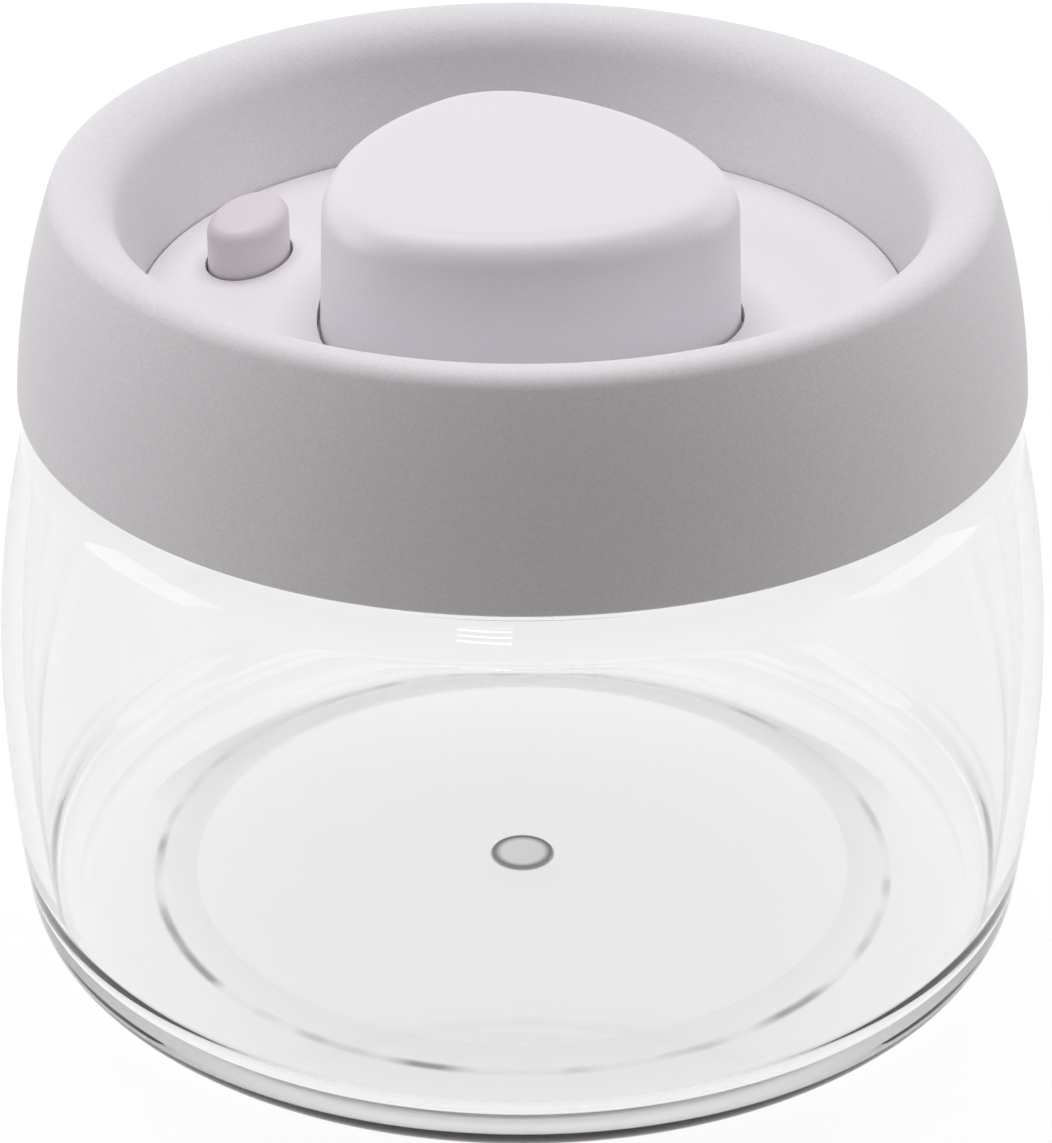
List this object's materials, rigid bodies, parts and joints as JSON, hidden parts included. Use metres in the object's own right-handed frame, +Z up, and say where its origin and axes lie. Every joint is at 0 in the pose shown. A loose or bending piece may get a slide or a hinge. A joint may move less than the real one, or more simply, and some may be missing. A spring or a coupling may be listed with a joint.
{
  "type": "vacuum seal canister",
  "caption": "Round clear plastic food jar with a bulging wall and a pale pump lid: a palm-pressed pump button draws the air out and a small oval button lets it back in.",
  "frame": {"origin": "centre of the foot, on the surface that the jar stands on", "axes": "+Z up along the jar's axis; the release button lies on the -X side of the lid"},
  "size_m": [0.1216, 0.1216, 0.0924],
  "materials": {
    "clear_plastic": "clear polished",
    "collar_plastic": "fine matt",
    "deck_plastic": "satin",
    "release_plastic": "satin, slightly warm",
    "inner_plastic": "moulded",
    "silicone": "soft translucent",
    "steel": "bright"
  },
  "bodies": {
    "jar": {"jar": "clear_plastic"},
    "lid": {"lid_collar": "collar_plastic", "lid_deck": "deck_plastic", "lid_base": "inner_plastic", "lid_gasket": "silicone", "lid_screws": "steel", "pump_cylinder": "inner_plastic", "cylinder_gasket": "silicone", "cylinder_screws": "steel", "intake_valve": "silicone", "inlet_filter": "steel", "filter_cap": "inner_plastic", "pump_spring": "steel", "release_spring": "steel"},
    "pump": {"pump_button": "deck_plastic", "pump_piston": "inner_plastic", "piston_seal": "silicone", "exhaust_valve": "silicone", "piston_pin": "steel"},
    "release": {"release_button": "release_plastic", "release_seal": "silicone", "release_clip": "steel"}
  },
  "joints": [
    {"name": "lid_lift", "type": "slide", "parent": "jar", "child": "lid", "axis": [0, 0, 1], "range_m": [0, 0.06]},
    {"name": "pump_press", "type": "slide", "parent": "lid", "child": "pump", "axis": [0, 0, -1], "range_m": [0, 0.01], "stiffness_N_per_m": 450, "springref_m": -0.006, "deforming": ["pump_spring"]},
    {"name": "release_press", "type": "slide", "parent": "lid", "child": "release", "axis": [0, 0, -1], "range_m": [0, 0.0025], "stiffness_N_per_m": 500, "springref_m": -0.002, "deforming": ["release_spring"]}
  ]
}
